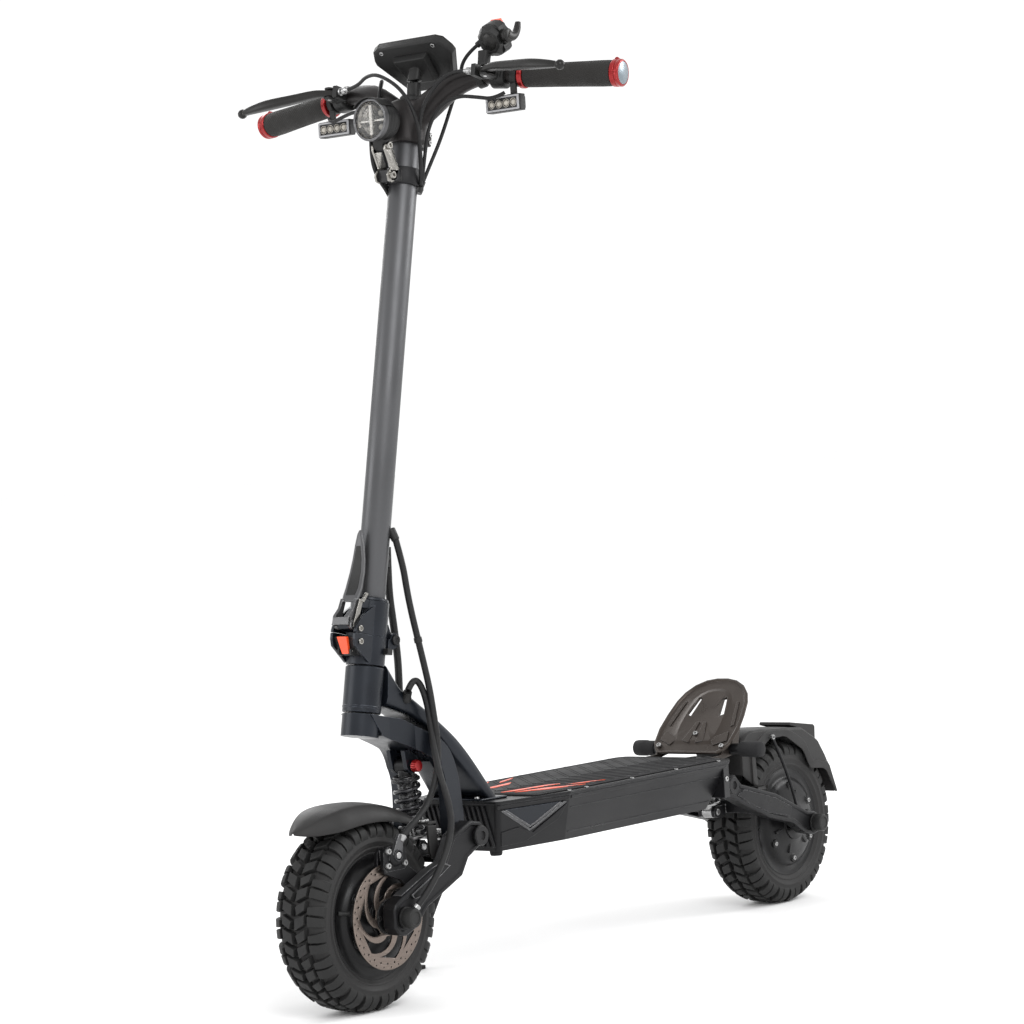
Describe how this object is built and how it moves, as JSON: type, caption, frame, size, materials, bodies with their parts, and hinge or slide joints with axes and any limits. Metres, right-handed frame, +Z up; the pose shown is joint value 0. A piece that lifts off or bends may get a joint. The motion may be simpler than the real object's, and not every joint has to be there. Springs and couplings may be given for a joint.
{
  "type": "electric kick scooter",
  "caption": "Folding electric kick scooter with two hub-motor wheels, sprung swingarms, a flat deck, a raked steering column and a gull-wing handlebar with lamps and a display.",
  "frame": {"origin": "on the ground, midway between the two axles, which is the bottom centre of the whole object's box", "axes": "+X forward to the front wheel, +Y to the rider's left, +Z up"},
  "size_m": [1.2585, 0.6502, 1.3226],
  "materials": {
    "blue_black": "satin blue-black metallic paint",
    "stem_grey": "satin dark grey anodised tube",
    "bar_grey": "satin dark forged aluminium",
    "deck_black": "matte black anodised extrusion",
    "mat_rubber": "matte moulded rubber",
    "grip_rubber": "soft matte rubber",
    "black_steel": "black coated steel",
    "arm_black": "black anodised forged aluminium with bright machined edges",
    "gunmetal": "gunmetal powder coat",
    "blue_wrap": "shrink-wrapped cell pack",
    "bare_aluminium": "bare finned aluminium",
    "bearing_steel": "zinc plated steel",
    "disc_steel": "ground steel disc, slightly browned",
    "chrome": "polished chrome",
    "black_plastic": "moulded black plastic",
    "orange_plastic": "orange-red plastic",
    "cable_sleeve": "woven black cable sleeve",
    "lamp_glass": "clear lamp lens",
    "lever_grey": "dark anodised lever",
    "button_grey": "grey push button",
    "tyre": "black road tyre",
    "hub_black": "black painted hub motor",
    "spring_grey": "grey coated spring wire",
    "tail_red": "red tail lamp in a black box"
  },
  "bodies": {
    "frame": {"neck_frame": "blue_black", "deck_shell": "deck_black", "deck_cover": "deck_black", "deck_mat": "mat_rubber", "deck_fittings": "black_steel", "battery_pack": "blue_wrap", "motor_controllers": "bare_aluminium", "kick_plate": "gunmetal", "grab_bar": "mat_rubber", "headset_bearings": "bearing_steel", "kickstand_bracket": "black_steel"},
    "kickstand": {"kickstand_leg": "black_steel"},
    "fork": {"fork_arm": "blue_black", "fold_lower_clamp": "blue_black", "latch_base": "black_plastic", "fork_fasteners": "bearing_steel", "front_cables": "cable_sleeve"},
    "safety_catch": {"safety_catch": "orange_plastic"},
    "stem": {"stem_tube": "stem_grey", "fold_upper_clamp": "blue_black", "latch_rod": "chrome", "handlebar": "bar_grey", "grips": "grip_rubber", "display": "black_plastic", "headlight_bracket": "black_steel", "bar_controls": "black_plastic", "side_lamps": "black_plastic", "handlebar_cables": "cable_sleeve", "fold_cables": "cable_sleeve"},
    "headlight": {"headlight_housing": "chrome", "headlight_lens": "lamp_glass"},
    "latch_lever": {"latch_lever": "lever_grey"},
    "brake_lever_left": {"brake_lever_left": "lever_grey"},
    "brake_lever_right": {"brake_lever_right": "lever_grey"},
    "throttle_paddle": {"throttle_paddle": "orange_plastic"},
    "mode_button": {"mode_button": "button_grey"},
    "horn_button": {"horn_button": "button_grey"},
    "front_arm": {"front_swingarm": "arm_black", "front_axle": "bearing_steel", "front_fender": "black_plastic", "front_caliper": "arm_black"},
    "front_wheel": {"front_tyre": "tyre", "front_hub_motor": "hub_black", "front_rotor": "disc_steel"},
    "front_shock_body": {"front_shock_body": "arm_black", "front_spring": "spring_grey"},
    "front_shock_rod": {"front_shock_rod": "bearing_steel"},
    "front_caliper_arm": {"front_caliper_arm": "bearing_steel"},
    "rear_arm": {"rear_swingarm": "arm_black", "rear_axle": "bearing_steel", "rear_fender": "black_plastic", "tail_light": "tail_red", "rear_caliper": "arm_black"},
    "rear_wheel": {"rear_tyre": "tyre", "rear_hub_motor": "hub_black", "rear_rotor": "disc_steel"},
    "rear_shock_body": {"rear_shock_body": "arm_black", "rear_spring": "spring_grey"},
    "rear_shock_rod": {"rear_shock_rod": "bearing_steel"},
    "rear_caliper_arm": {"rear_caliper_arm": "bearing_steel"}
  },
  "joints": [
    {"name": "steering", "type": "hinge", "parent": "frame", "child": "fork", "pos_m": [0.45827, 0, 0.42354], "axis": [-0.2079, 0, 0.9781], "range_deg": [-35, 35]},
    {"name": "stem_fold", "type": "hinge", "parent": "fork", "child": "stem", "pos_m": [0.41103, 0, 0.4871], "axis": [0, -1, 0], "range_deg": [0, 80], "deforming": ["fold_cables"]},
    {"name": "latch_open", "type": "hinge", "parent": "stem", "child": "latch_lever", "pos_m": [0.48622, 0, 0.51331], "axis": [0, 1, 0], "range_deg": [0, 95]},
    {"name": "catch_release", "type": "hinge", "parent": "fork", "child": "safety_catch", "pos_m": [0.48791, 0, 0.47891], "axis": [0, 1, 0], "range_deg": [0, 10], "stiffness_Nm_per_rad": 0.6, "springref_deg": -5.73},
    {"name": "front_suspension", "type": "hinge", "parent": "fork", "child": "front_arm", "pos_m": [0.336, 0, 0.215], "axis": [0, -1, 0], "range_deg": [-4, 12], "stiffness_Nm_per_rad": 320, "springref_deg": -5.16, "deforming": ["front_cables"]},
    {"name": "front_spin", "type": "hinge", "parent": "front_arm", "child": "front_wheel", "pos_m": [0.498, 0, 0.1275], "axis": [0, 1, 0], "continuous": true},
    {"name": "front_shock_swing", "type": "hinge", "parent": "fork", "child": "front_shock_body", "pos_m": [0.384, 0, 0.314], "axis": [0, -1, 0], "range_deg": [-2, 3]},
    {"name": "front_shock_stroke", "type": "slide", "parent": "front_shock_body", "child": "front_shock_rod", "axis": [-0.124, 0, -0.9923], "range_m": [-0.0105, 0.004], "deforming": ["front_spring"]},
    {"name": "front_brake_arm", "type": "hinge", "parent": "front_arm", "child": "front_caliper_arm", "pos_m": [0.487, 0, 0.2075], "axis": [0, -1, 0], "range_deg": [0, 24]},
    {"name": "rear_suspension", "type": "hinge", "parent": "frame", "child": "rear_arm", "pos_m": [-0.272, 0, 0.212], "axis": [0, 1, 0], "range_deg": [-4, 10], "stiffness_Nm_per_rad": 320, "springref_deg": -5.16},
    {"name": "rear_spin", "type": "hinge", "parent": "rear_arm", "child": "rear_wheel", "pos_m": [-0.498, 0, 0.1275], "axis": [0, 1, 0], "continuous": true},
    {"name": "rear_shock_swing", "type": "hinge", "parent": "frame", "child": "rear_shock_body", "pos_m": [-0.322, 0, 0.238], "axis": [0, 1, 0], "range_deg": [-5, 10]},
    {"name": "rear_shock_stroke", "type": "slide", "parent": "rear_shock_body", "child": "rear_shock_rod", "axis": [-0.1812, 0, -0.9835], "range_m": [-0.0125, 0.006], "deforming": ["rear_spring"]},
    {"name": "rear_brake_arm", "type": "hinge", "parent": "rear_arm", "child": "rear_caliper_arm", "pos_m": [-0.487, 0, 0.2075], "axis": [0, 1, 0], "range_deg": [0, 24]},
    {"name": "brake_squeeze_left", "type": "hinge", "parent": "stem", "child": "brake_lever_left", "pos_m": [0.2932, 0.14, 1.24824], "axis": [-0.2079, 0, 0.9781], "range_deg": [0, 20], "stiffness_Nm_per_rad": 2, "springref_deg": -2.86},
    {"name": "brake_squeeze_right", "type": "hinge", "parent": "stem", "child": "brake_lever_right", "pos_m": [0.2932, -0.14, 1.24824], "axis": [0.2079, 0, -0.9781], "range_deg": [0, 20], "stiffness_Nm_per_rad": 2, "springref_deg": -2.86},
    {"name": "throttle_press", "type": "hinge", "parent": "stem", "child": "throttle_paddle", "pos_m": [0.25026, 0.143, 1.29636], "axis": [0, 1, 0], "range_deg": [0, 25], "stiffness_Nm_per_rad": 0.6, "springref_deg": -5.73},
    {"name": "mode_press", "type": "slide", "parent": "stem", "child": "mode_button", "axis": [0.9781, 0, 0.2079], "range_m": [0, 0.002], "stiffness_N_per_m": 250, "springref_m": -0.002},
    {"name": "horn_press", "type": "slide", "parent": "stem", "child": "horn_button", "axis": [0.9781, 0, 0.2079], "range_m": [0, 0.002], "stiffness_N_per_m": 250, "springref_m": -0.002},
    {"name": "headlight_tilt", "type": "hinge", "parent": "stem", "child": "headlight", "pos_m": [0.354, 0, 1.157], "axis": [0, 1, 0], "range_deg": [-5, 5]},
    {"name": "kickstand_fold", "type": "hinge", "parent": "frame", "child": "kickstand", "pos_m": [0.228, -0.064, 0.17], "axis": [0, 1, 0], "range_deg": [0, 90]}
  ],
  "couplings": [
    {"joint": "front_shock_swing", "follows": "front_suspension", "ratio": 0.05523},
    {"joint": "front_shock_stroke", "follows": "front_suspension", "m_per_rad": -0.035831},
    {"joint": "rear_shock_swing", "follows": "rear_suspension", "ratio": 0.81393},
    {"joint": "rear_shock_stroke", "follows": "rear_suspension", "m_per_rad": -0.054588},
    {"joint": "front_brake_arm", "follows": "brake_squeeze_left", "ratio": 1.1},
    {"joint": "rear_brake_arm", "follows": "brake_squeeze_right", "ratio": 1.1}
  ]
}
